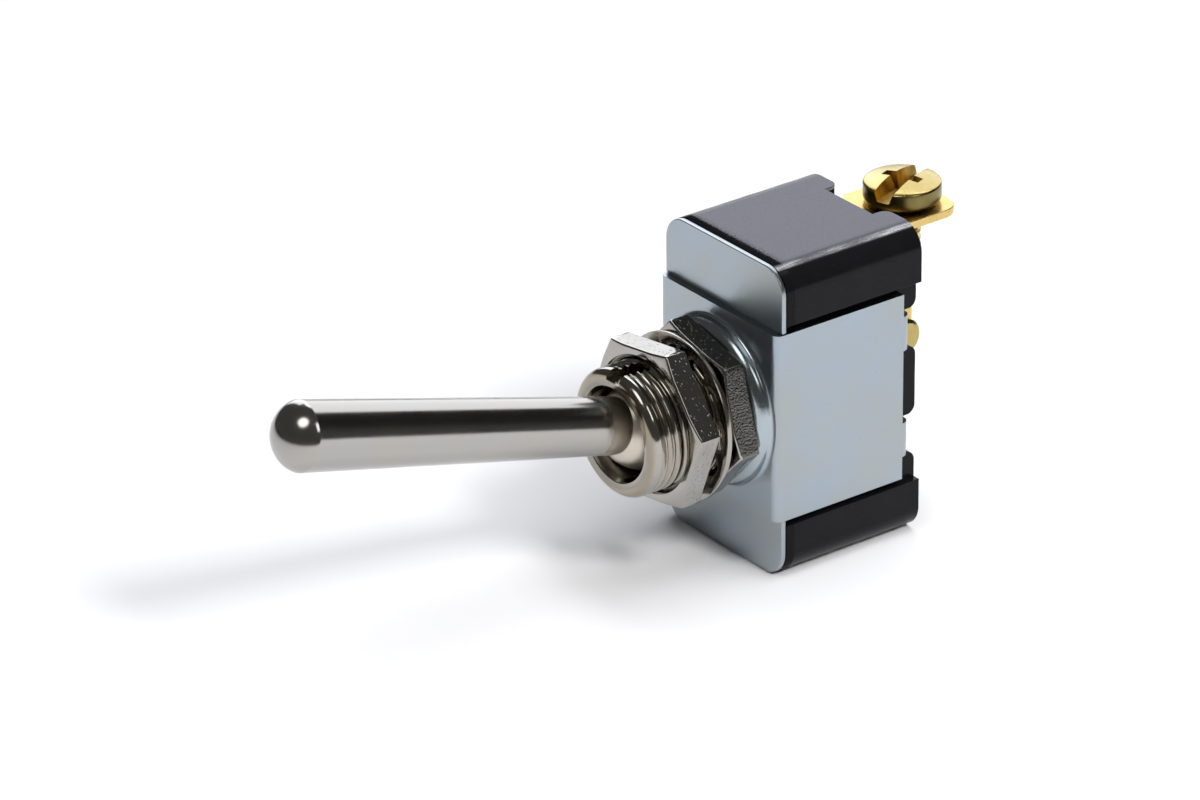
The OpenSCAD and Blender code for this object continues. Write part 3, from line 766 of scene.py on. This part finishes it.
def finish(name, bm, body, materials, nodes, place=None):
    """Makes the piece in metres, at rest in the frame, parents it to its body and hides the CAD
    nodes it stands for.

    The shape comes in millimetres, and place takes it from its own frame to the part's.
    """
    if place is not None:
        bmesh.ops.transform(bm, matrix=place, verts=bm.verts)
    bmesh.ops.scale(bm, vec=(MM,) * 3, verts=bm.verts)
    mesh = bpy.data.meshes.new(name)
    bm.to_mesh(mesh)
    bm.free()
    mesh.validate()
    mesh.shade_smooth()
    mesh.set_sharp_from_angle(angle=SHARP_FROM)
    for material in materials:
        mesh.materials.append(material)
    piece = bpy.data.objects.new(name, mesh)
    bpy.context.scene.collection.objects.link(piece)
    flat = piece.modifiers.new("flat_faces", "WEIGHTED_NORMAL")
    flat.keep_sharp = True
    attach(piece, body)
    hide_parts(*nodes)


def refinish(node, material):
    """Gives a CAD node a better material in each of its slots."""
    for slot in frame["nodes"][node].material_slots:
        slot.material = material


# ---------------------------------------------------------------- the pieces

class SWITCH_OT_pressed_steel(bpy.types.Operator):
    """Yoke and cover plate, pressed from zinc-plated sheet"""

    bl_idname = "switch.pressed_steel"
    bl_label = "Yoke and cover plate"

    def execute(self, context):
        for node in ("yoke", "cover_plate"):
            bm = cad_copy(node)
            soften(bm, sizes().sheet_edge / MM)
            finish(node + "_sheet", bm, "switch_body", [zinc_plate()], [node])
        refinish("insulating_sheet", fibre())
        return {"FINISHED"}


class SWITCH_OT_case(bpy.types.Operator):
    """Moulded case with its notched lugs"""

    bl_idname = "switch.case"
    bl_label = "Case"

    def execute(self, context):
        bm = cad_copy("case")
        soften(bm, sizes().case_edge / MM)
        finish("moulded_case", bm, "switch_body", [phenolic()], ["case"])
        return {"FINISHED"}


class SWITCH_OT_stem(bpy.types.Operator):
    """Threaded stem with its keyway, coned mouth and flange"""

    bl_idname = "switch.stem"
    bl_label = "Threaded stem"

    def execute(self, context):
        s = sizes()
        crest, foot, rim = 6.0, 1.5, 0.8
        bore, bore_back, socket = 4.05, 6.5, 4.7
        key_half, key_floor, key_end = 0.9, 5.1, 1.4
        top = STEM_LEN - rim - 0.12
        bm = threaded(
            crest, s.thread_depth / MM, s.thread_pitch / MM, foot, top, s.round_steps, (0.5, 0.16),
        )
        front = carry(bm, end_loop(bm, top), [
            *arc((crest - rim, STEM_LEN - rim), rim, 0, 90, 10),
            (4.66, STEM_LEN), (4.52, STEM_LEN - 0.08), (4.07, STEM_LEN - 1.1),
            (bore, STEM_LEN - 1.2), (bore, bore_back), (socket, 6.45), (socket, -STEM_FLANGE_BACK),
        ])
        back = carry(bm, end_loop(bm, foot), [
            (crest, 1.2), (crest, 0.66),
            (STEM_FLANGE_R - 0.1, 0.65), (STEM_FLANGE_R, 0.55),
            (STEM_FLANGE_R, 0.1 - STEM_FLANGE_BACK), (STEM_FLANGE_R - 0.1, -STEM_FLANGE_BACK),
        ])
        bmesh.ops.bridge_loops(bm, edges=front + back)
        bmesh.ops.recalc_face_normals(bm, faces=bm.faces)
        bm = cut(bm, [box_cutter(
            (-key_half, key_floor, key_end), (key_half, crest + 1, STEM_LEN + 1),
        )])
        # the bore and the mouth take the plate painted darker: painted shade
        for f in bm.faces:
            f.material_index = 1 if f.calc_center_median().xy.length < crest - rim else 0
        finish(
            "threaded_stem", bm, "switch_body",
            [stem_nickel(), shaded_mouth_nickel()], ["stem"], STEM_TURN,
        )
        return {"FINISHED"}


class SWITCH_OT_lever(bpy.types.Operator):
    """Polished lever with its round tip and the ball that it swings on"""

    bl_idname = "switch.lever"
    bl_label = "Lever"

    def execute(self, context):
        ball, tip, length, neck, tail, hollow = 4.0, 3.17, 40.16, 2.55, 1.9, 1.3
        tail_end, crease = -13.6, math.radians(20.5)
        cap = tip / math.cos(crease)
        edge = length - cap + cap * math.sin(crease)
        meets = math.degrees(math.acos(neck / ball))
        # up the hollow tail, round the ball, along the tapered shank and over the round tip
        profile = [(0, -3.2), (hollow, -3.0), (hollow, tail_end)]
        profile += [(tail - 0.25, tail_end), (tail, tail_end + 0.25)]
        profile += arc((0, 0), ball, -math.degrees(math.acos(tail / ball)), meets, 40)
        profile += [(neck + 0.02, ball * math.sin(math.radians(meets)) + 0.06)]
        heights = (3.6, 6, 12, 18, 24, 30, 35, edge - 0.15)
        profile += [(neck + (tip - neck) * z / edge, z) for z in heights]
        profile += [(tip - 0.004, edge - 0.06), (tip - 0.01, edge), (tip - 0.035, edge + 0.05)]
        profile += arc((0, length - cap), cap, math.degrees(crease) + 2.6, 90, 36)
        bm = lathe(profile, sizes().round_steps)
        finish("turned_lever", bm, "lever", [lever_nickel()], ["lever"], LEVER_UP)
        return {"FINISHED"}


NUT_ACROSS, NUT_BORE = 14.29, 6.05
RING_STEPS = 144


def hex_nut(height, across, bore, edge, sandy):
    """A hex nut with turned front corners, in its own frame, front up.

    Its flats take the second material, and the ones in sandy, counted round from the first
    corner, take the third.
    """
    face = across / 2 + 0.05
    slope = math.tan(math.radians(18))

    def flat(angle):
        return across / 2 / math.cos(angle % (math.pi / 3) - math.pi / 6)

    def crown(angle, turn):
        top = height - max(0.0, flat(angle) - edge - face) * slope
        return (flat(angle) - edge * (1 - math.cos(turn)), top - edge * (1 - math.sin(turn)))

    bm = loop_ring(RING_STEPS, [
        lambda a: (bore + 0.25, 0.0),
        lambda a: (flat(a) - 0.08, 0.0),
        lambda a: (flat(a), 0.08),
        *[lambda a, turn=turn: crown(a, math.radians(turn)) for turn in (0, 30, 60, 90)],
        lambda a: (min(face, flat(a) - edge - 0.03), height),
        lambda a: (bore + 0.45, height),
        lambda a: (bore, height - 0.35),
        lambda a: (bore, 0.25),
    ])
    for f in bm.faces:
        if abs(f.normal.z) < 0.1 and f.calc_center_median().xy.length > across / 2 - 0.1:
            side = int(math.degrees(math.atan2(f.normal.y, f.normal.x)) % 360 // 60)
            f.material_index = 2 if side in sandy else 1
    soften(bm, edge, 40)
    return bm


class SWITCH_OT_panel_nuts(bpy.types.Operator):
    """Front and rear hex nuts"""

    bl_idname = "switch.panel_nuts"
    bl_label = "Panel nuts"

    def execute(self, context):
        for node, body, turn, sandy in (
            ("front_nut", "front_nut", 8.6, ()), ("rear_nut", "switch_body", 47.0, (1, 3, 5)),
        ):
            back, front = -corner(node, True).y, -corner(node, False).y
            bm = hex_nut(front - back, NUT_ACROSS, NUT_BORE, sizes().nut_edge / MM, sandy)
            turned = Matrix.Rotation(math.radians(turn), 4, "Z")
            finish(
                node + "_hex", bm, body,
                [nut_nickel(), flat_nickel(), sandy_nickel()], [node],
                STEM_TURN @ Matrix.Translation((0, 0, back)) @ turned,
            )
        return {"FINISHED"}


class SWITCH_OT_lock_washer(bpy.types.Operator):
    """Lock washer with twisted inner teeth"""

    bl_idname = "switch.lock_washer"
    bl_label = "Lock washer"

    def execute(self, context):
        outer, band, root, half, lean, sag = 7.85, 6.95, 6.34, 0.25, 2.8, 0.33
        middle = -(corner("lock_washer", False).y + corner("lock_washer", True).y) / 2
        teeth, tooth_faces, tooth_rows = 12, 5, 3
        section = ((band, -half), (outer, -half), (outer, half), (band, half))
        bm = loop_ring(RING_STEPS, [lambda a, point=point: point for point in section])
        bm.faces.ensure_lookup_table()
        inner = [
            f for f in bm.faces
            if abs(f.normal.z) < 0.1 and f.calc_center_median().xy.length < band + 0.05
        ]
        spokes = [
            Matrix.Rotation((i + 0.5) * 2 * math.pi / teeth, 3, "Z") @ Vector((1, 0, 0))
            for i in range(teeth)
        ]
        roots = [
            sorted(
                inner, key=lambda f: (f.calc_center_median().normalized() - spoke).length,
            )[:tooth_faces]
            for spoke in spokes
        ]
        # each tooth grows in rows from a few faces of the inner side, and twists as it grows
        for spoke, near in zip(spokes, roots):
            for _ in range(tooth_rows):
                grown = bmesh.ops.extrude_face_region(bm, geom=near)["geom"]
                bmesh.ops.delete(bm, geom=near, context="FACES_ONLY")
                near = only(grown, bmesh.types.BMFace)
                verts = only(grown, bmesh.types.BMVert)
                bmesh.ops.translate(bm, vec=-spoke * (band - root) / tooth_rows, verts=verts)
                bmesh.ops.rotate(
                    bm, cent=spoke * root, verts=verts,
                    matrix=Matrix.Rotation(sizes().tooth_twist / 2, 3, spoke),
                )
        bmesh.ops.recalc_face_normals(bm, faces=bm.faces)
        soften(bm, 0.07)
        leant = Matrix.Rotation(math.radians(-lean), 4, "X")
        finish(
            "toothed_washer", bm, "lock_washer", [washer_nickel()], ["lock_washer"],
            STEM_TURN @ Matrix.Translation((0, -sag, middle)) @ leant,
        )
        return {"FINISHED"}


class SWITCH_OT_terminals(bpy.types.Operator):
    """Brass terminal blades"""

    bl_idname = "switch.terminals"
    bl_label = "Terminals"

    def execute(self, context):
        for node in ("end_terminal", "centre_terminal"):
            bm = cad_copy(node)
            soften(bm, sizes().blade_edge / MM)
            finish(node + "_blade", bm, "switch_body", [blade_brass()], [node])
        return {"FINISHED"}


def combination_screw(pitch):
    """A binding screw with a slot and a cross recess, shank down, its blade's top at zero."""
    gap, straight, dome, head, shank, length = 0.2, 1.75, 0.5, 3.575, 1.75, 4.76
    slot_half, slot_deep, slot_long = 0.98, 1.4, 5
    cross_half, cross_deep, cross_long = 0.55, 1.6, 2.0
    thread_depth, run_out = 0.42, 0.4
    head_steps, shank_steps = 96, 64
    rim, top = gap + straight, gap + straight + dome
    ball = (head * head + dome * dome) / (2 * dome)
    profile = [(0, gap), (head - 0.42, gap), (head - 0.2, gap + 0.06), (head - 0.06, gap + 0.2)]
    profile += [(head, gap + 0.42), (head, rim - 0.16)]
    profile += [(head - 0.035, rim - 0.06), (head - 0.12, rim + 0.01)]
    spread = math.degrees(math.asin((head - 0.22) / ball))
    profile += arc((0, top - ball), ball, 90 - spread, 90, 14)
    bm = lathe(profile, head_steps)
    slot = box_cutter(
        (-slot_long, -slot_half, top - slot_deep), (slot_long, slot_half, top + 0.1), (1.0, 0.55),
    )
    # the slot is wider at one end
    for v in slot.verts:
        v.co.y *= 1.22 if v.co.x < 0 else 0.82
    cross = box_cutter(
        (-cross_half, -cross_long, top - cross_deep), (cross_half, cross_long, top + 0.1),
        (0.35, 0.6),
    )
    along = box_cutter(
        (-cross_long, -cross_half, top - cross_deep), (cross_long, cross_half, top + 0.1),
        (0.6, 0.4),
    )
    bm = cut(bm, [slot, cross, along])
    for f in bm.faces:
        middle = f.calc_center_median()
        shell = math.sqrt(ball * ball - middle.xy.length_squared) + top - ball
        # the recess takes brass painted brown: painted shade
        if middle.z < shell - 0.06 and middle.xy.length < head - 0.3 and f.normal.z > -0.5:
            f.material_index = 2
        # the head's side takes brass painted darker: painted shade
        elif abs(f.normal.z) < 0.6 and middle.xy.length > head - 0.3:
            f.material_index = 1
    soften(bm, 0.06, 32)
    foot = gap - length
    skin = threaded(
        shank, thread_depth, pitch, foot + 0.3, gap - 0.1, shank_steps, (run_out, run_out),
    )
    carry(skin, end_loop(skin, foot + 0.3), [(shank - 0.3, foot), (0.5, foot), (0.001, foot)])
    carry(skin, end_loop(skin, gap - 0.1), [(shank, gap + 0.3), (0.001, gap + 0.3)])
    bmesh.ops.remove_doubles(skin, verts=skin.verts, dist=0.01)
    bmesh.ops.recalc_face_normals(skin, faces=skin.faces)
    mesh = bpy.data.meshes.new("scratch_shank")
    skin.to_mesh(mesh)
    skin.free()
    bm.from_mesh(mesh)
    bpy.data.meshes.remove(mesh)
    return bm


class SWITCH_OT_terminal_screws(bpy.types.Operator):
    """The two terminal screws"""

    bl_idname = "switch.terminal_screws"
    bl_label = "Terminal screws"

    def execute(self, context):
        pitch = sizes().screw_pitch / MM
        y = (corner("end_screw", False).y + corner("end_screw", True).y) / 2
        top = corner("end_terminal", True).z
        left = corner("centre_terminal", False).x
        upright = Matrix.Rotation(math.radians(111), 4, "Z")
        sideways = Matrix.Rotation(math.radians(-90), 4, "Y") @ Matrix.Rotation(
            math.radians(30), 4, "Z"
        )
        for name, node, seat, turn in (
            ("end_terminal_screw", "end_screw", (0, y, top), upright),
            ("centre_terminal_screw", "centre_screw", (left, y, 0), sideways),
        ):
            finish(
                name, combination_screw(pitch), "switch_body",
                [screw_brass(), dull_shaded_brass(), shaded_recess_brass()], [node],
                Matrix.Translation(seat) @ turn,
            )
        return {"FINISHED"}


class SWITCH_OT_mechanism(bpy.types.Operator):
    """Finishes of the pin, plunger, spring, rocker, saddle and contacts"""

    bl_idname = "switch.mechanism"
    bl_label = "Mechanism"

    def execute(self, context):
        brass = colours().brass
        steel = metal(
            "bright_steel", (0.46, 0.46, 0.47), (0.42, 0.41, 0.40), (0.18, 0.3),
            patch=0.8, grain=9.0, bump=0.002, drawn=((8.0, 0.5, 8.0), 0.002),
        )
        bronze = metal(
            "strip_bronze", (0.62, 0.38, 0.21), (0.52, 0.31, 0.17), (0.2, 0.36),
            patch=0.5, grain=8.0, bump=0.003, specks=(2.0, 0.07, 0.3, 0.006),
            drawn=((5.0, 5.0, 0.3), 0.003),
        )
        silver = metal(
            "contact_silver_finish", (0.78, 0.77, 0.73), (0.62, 0.60, 0.55), (0.2, 0.38),
            patch=0.9, grain=8.0, bump=0.004,
        )
        turned = metal(
            "turned_brass", brass, tinted(brass, 0.92, 0.88, 0.8), (0.16, 0.28),
            patch=0.6, grain=8.0, bump=0.002, drawn=((0.6, 9.0, 0.6), 0.003),
        )
        for node, finish_of in (
            ("pivot_pin", steel), ("plunger_spring", steel), ("plunger", turned),
            ("saddle_rivet", turned), ("rocker_saddle", turned), ("rocker", bronze),
            ("moving_contact", silver), ("fixed_contact", silver),
        ):
            refinish(node, finish_of)
        return {"FINISHED"}


# ---------------------------------------------------------------- the stage, in metres

COOL = (0.93, 0.95, 1.0)
FADE_CENTRE = (-0.6, 0.0, 0.0)
RIM_HIGH_AT = math.radians(-110)
ROOM, DIM_PATCH = (0.084, 0.082, 0.077, 1), (0.026, 0.025, 0.024, 1)
DIM_TOWARDS = (0.193, 0.907, 0.375)
CAMERA_PLACE = (0.40723, -0.31536, 0.25579)
CAMERA_AZIMUTH, CAMERA_ELEVATION, CAMERA_ROLL = 53.413, 26.417, -0.643
CAMERA_LENS = 193.06


def bearing(azimuth, elevation):
    """The direction from the switch at an azimuth from its front and an elevation."""
    a, e = math.radians(azimuth), math.radians(elevation)
    return Vector((math.sin(a) * math.cos(e), -math.cos(a) * math.cos(e), math.sin(e)))


def floor_material():
    """Pale, faintly mottled and matt, and painted darker far from the switch, as painted shade
    where the lamps reach less.
    """
    material, t, shader = new_material("pale_floor")
    c = colours().floor
    mottle = t.noise(t.coords((1.0, 1.0, 1.0)), 14.0, 3.0)
    pale = t.mix(t.span(mottle, 0.3, 0.7), rgba(c, 0.985), rgba(c))
    from_centre = t.coords((1.0, 1.0, 1.0), centre=FADE_CENTRE)
    away = t.add("VectorMath", {0: from_centre}, operation="LENGTH").outputs["Value"]
    # the colour is painted darker far from the switch: painted shade
    t.put(shader, "Base Color", t.mix(t.span(away, 0.82, 1.35), pale, rgba(c, 0.3)))
    shader.inputs["Roughness"].default_value = 0.9
    shader.inputs["Specular IOR Level"].default_value = 0.1
    return material


def add_floor():
    """A round floor with a low rim that dies away round the near side."""
    reach, bend, wall = 2.0, 0.06, 0.17
    bm = lathe([
        (0.0, 0.0), (0.3, 0.0), (1.0, 0.0), (reach - bend, 0.0),
        *arc((reach - bend, bend), bend, -90, 0, 8), (reach, wall),
    ], 96)
    for v in bm.verts:
        away = math.atan2(v.co.x, -v.co.y) - RIM_HIGH_AT
        v.co.z *= min(1.0, max(0.0, 0.5 + 1.6 * math.cos(away)))
    bmesh.ops.translate(bm, vec=(0, 0, FLOOR_Z), verts=bm.verts)
    mesh = bpy.data.meshes.new("floor")
    bm.to_mesh(mesh)
    bm.free()
    mesh.shade_smooth()
    mesh.materials.append(floor_material())
    floor = bpy.data.objects.new("floor", mesh)
    bpy.context.scene.collection.objects.link(floor)


def panel_light(
    name, azimuth, elevation, distance, width, height, radiance,
    colour=(1, 1, 1), shown=True, lights=True, shape="RECTANGLE",
):
    """A soft panel that faces the switch; its level is set as radiance.

    A panel that is not shown is not seen in the metal, and one without lights leaves matt
    surfaces such as the floor alone.
    """
    light = bpy.data.lights.new(name, "AREA")
    light.shape, light.size, light.size_y = shape, width, height
    share = math.pi / 4 if shape == "ELLIPSE" else 1.0
    light.energy = radiance * math.pi * width * height * share
    light.color = colour
    lamp = bpy.data.objects.new(name, light)
    out = bearing(azimuth, elevation)
    lamp.location = out * distance
    lamp.rotation_mode = "QUATERNION"
    lamp.rotation_quaternion = out.to_track_quat("Z", "Y")
    lamp.visible_camera = False
    lamp.visible_glossy = shown
    lamp.visible_diffuse = lights
    bpy.context.scene.collection.objects.link(lamp)


def dim_room():
    """A dim room with a darker patch behind the switch."""
    world = bpy.data.worlds.new("dim_room")
    world.use_nodes = True
    t = Tree(world.node_tree)
    towards = t.add("VectorMath", {
        0: t.add("TexCoord").outputs["Generated"], 1: DIM_TOWARDS,
    }, operation="DOT_PRODUCT").outputs["Value"]
    t.put(t.nodes["Background"], "Color", t.mix(t.span(towards, 0.87, 0.945), ROOM, DIM_PATCH))
    return world


def add_camera():
    """The camera, turned back along its bearing and rolled a little about its view."""
    azimuth, roll = math.radians(CAMERA_AZIMUTH), math.radians(CAMERA_ROLL)
    back = bearing(CAMERA_AZIMUTH, CAMERA_ELEVATION)
    right = Vector((math.cos(azimuth), math.sin(azimuth), 0))
    up = back.cross(right)
    across = right * math.cos(roll) + up * math.sin(roll)
    upright = up * math.cos(roll) - right * math.sin(roll)
    view = bpy.data.cameras.new("camera")
    view.lens, view.sensor_width = CAMERA_LENS, 36.0
    view.clip_start, view.clip_end = 0.02, 20.0
    camera = bpy.data.objects.new("camera", view)
    turn = Matrix((across, upright, back)).transposed().to_4x4()
    camera.matrix_world = Matrix.Translation(CAMERA_PLACE) @ turn
    bpy.context.scene.collection.objects.link(camera)
    return camera


class SWITCH_OT_stage(bpy.types.Operator):
    """Floor, soft lights, world and camera"""

    bl_idname = "switch.stage"
    bl_label = "Stage"

    def execute(self, context):
        scene = context.scene
        add_floor()

        panel_light("rear_panel", -144, 25, 0.75, 0.62, 0.60, 1.85, COOL, lights=False)
        panel_light("rear_panel_top", -146, 55, 0.75, 0.56, 0.13, 3.8, COOL, lights=False)
        panel_light("left_panel", -112, 24, 0.78, 0.27, 0.60, 2.4, (0.92, 0.94, 1.0), lights=False)
        panel_light("front_panel", 20, 61, 0.7, 0.34, 0.34, 2.8, shape="ELLIPSE")
        panel_light("side_panel", 100, 44, 0.75, 0.18, 0.32, 2.6)
        panel_light(
            "key_lamp", 93, 45, 0.75, 0.16, 0.16, 44.0, (1.0, 0.99, 0.965), shown=False,
        )
        panel_light(
            "overhead_soft", 180, 76, 0.75, 1.0, 0.24, 7.0, (0.98, 0.99, 1.0), shown=False,
        )

        scene.world = dim_room()
        scene.view_settings.view_transform = "Standard"
        scene.camera = add_camera()
        return {"FINISHED"}


STEPS = (
    SWITCH_OT_stage, SWITCH_OT_pressed_steel, SWITCH_OT_case, SWITCH_OT_stem, SWITCH_OT_lever,
    SWITCH_OT_panel_nuts, SWITCH_OT_lock_washer, SWITCH_OT_terminals, SWITCH_OT_terminal_screws,
    SWITCH_OT_mechanism,
)


class SWITCH_PT_panel(bpy.types.Panel):
    """Sizes, colours and the steps that build the switch"""

    bl_idname = "SWITCH_PT_panel"
    bl_label = "Toggle switch"
    bl_space_type = "VIEW_3D"
    bl_region_type = "UI"
    bl_category = "Switch"

    def draw(self, context):
        for group in (context.scene.switch_sizes, context.scene.switch_colours):
            column = self.layout.column(align=True)
            for name in group.__annotations__:
                column.prop(group, name)
        for step in STEPS:
            self.layout.operator(step.bl_idname)


CLASSES = (SwitchSizes, SwitchColours, *STEPS, SWITCH_PT_panel)


def register():
    """Adds the classes and the two groups of settings."""
    for each in CLASSES:
        bpy.utils.register_class(each)
    bpy.types.Scene.switch_sizes = PointerProperty(type=SwitchSizes)
    bpy.types.Scene.switch_colours = PointerProperty(type=SwitchColours)


def unregister():
    """Takes away what register() added."""
    del bpy.types.Scene.switch_colours
    del bpy.types.Scene.switch_sizes
    for each in reversed(CLASSES):
        bpy.utils.unregister_class(each)


def main():
    """Builds the switch step by step."""
    register()
    for step in STEPS:
        family, name = step.bl_idname.split(".")
        getattr(getattr(bpy.ops, family), name)()


if __name__ == "__main__":
    main()
